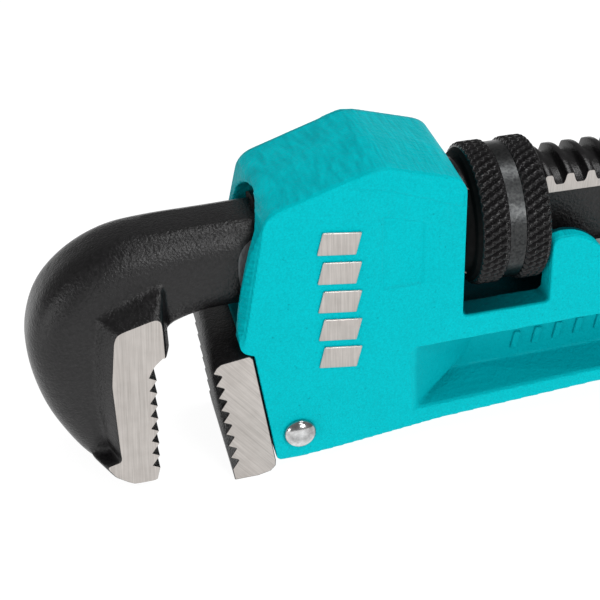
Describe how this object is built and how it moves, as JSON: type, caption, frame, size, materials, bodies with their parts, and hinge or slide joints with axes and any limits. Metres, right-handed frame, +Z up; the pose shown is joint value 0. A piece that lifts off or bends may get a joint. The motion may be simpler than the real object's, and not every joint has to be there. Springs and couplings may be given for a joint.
{
  "type": "pipe wrench",
  "caption": "Heavy straight pipe wrench: cast handle and housing, threaded hook jaw moved by a knurled nut, pinned heel jaw, and springs that let the hook jaw rock and bite.",
  "frame": {"origin": "under the middle of the wrench's length and thickness, at the level of the heel jaw's lower end", "axes": "+X along the hook jaw's shank towards the handle's hanging end, +Y across the wrench's flat sides, +Z up from the jaws' tips to the housing's roof"},
  "size_m": [0.2582, 0.0362, 0.0799],
  "materials": {
    "enamel": "glossy turquoise enamel over a cast iron surface",
    "blackened_steel": "black phosphate coating on forged steel, satin, with bright ground cheeks",
    "blackened_jaw": "black phosphate coating on forged steel, satin, with bright ground cheeks",
    "chrome": "bright plated dome",
    "blackened_nut": "black oxide over a diamond knurl, with a plain satin band between",
    "spring_steel": "blued spring steel",
    "ground_steel": "plain bright steel"
  },
  "bodies": {
    "handle": {"handle": "enamel", "heel_jaw": "blackened_jaw", "heel_jaw_pin": "chrome", "flat_spring_rivet": "ground_steel", "coil_spring": "spring_steel"},
    "flat_spring": {"flat_spring": "spring_steel"},
    "hook_jaw": {"hook_jaw": "blackened_steel"},
    "adjusting_nut": {"adjusting_nut": "blackened_nut"}
  },
  "joints": [
    {"name": "jaw_rock", "type": "hinge", "parent": "handle", "child": "flat_spring", "pos_m": [-0.018, 0, 0.0558], "axis": [0, 1, 0], "range_deg": [-1.5, 0], "stiffness_Nm_per_rad": 4, "springref_deg": 14.32, "deforming": ["coil_spring"]},
    {"name": "jaw_slide", "type": "slide", "parent": "flat_spring", "child": "hook_jaw", "axis": [1, 0, 0], "range_m": [-0.047, 0.0115]},
    {"name": "nut_spin", "type": "hinge", "parent": "flat_spring", "child": "adjusting_nut", "pos_m": [-0.018, 0, 0.0558], "axis": [1, 0, 0], "continuous": true}
  ],
  "couplings": [
    {"joint": "nut_spin", "follows": "jaw_slide", "rad_per_m": -1236.8}
  ]
}
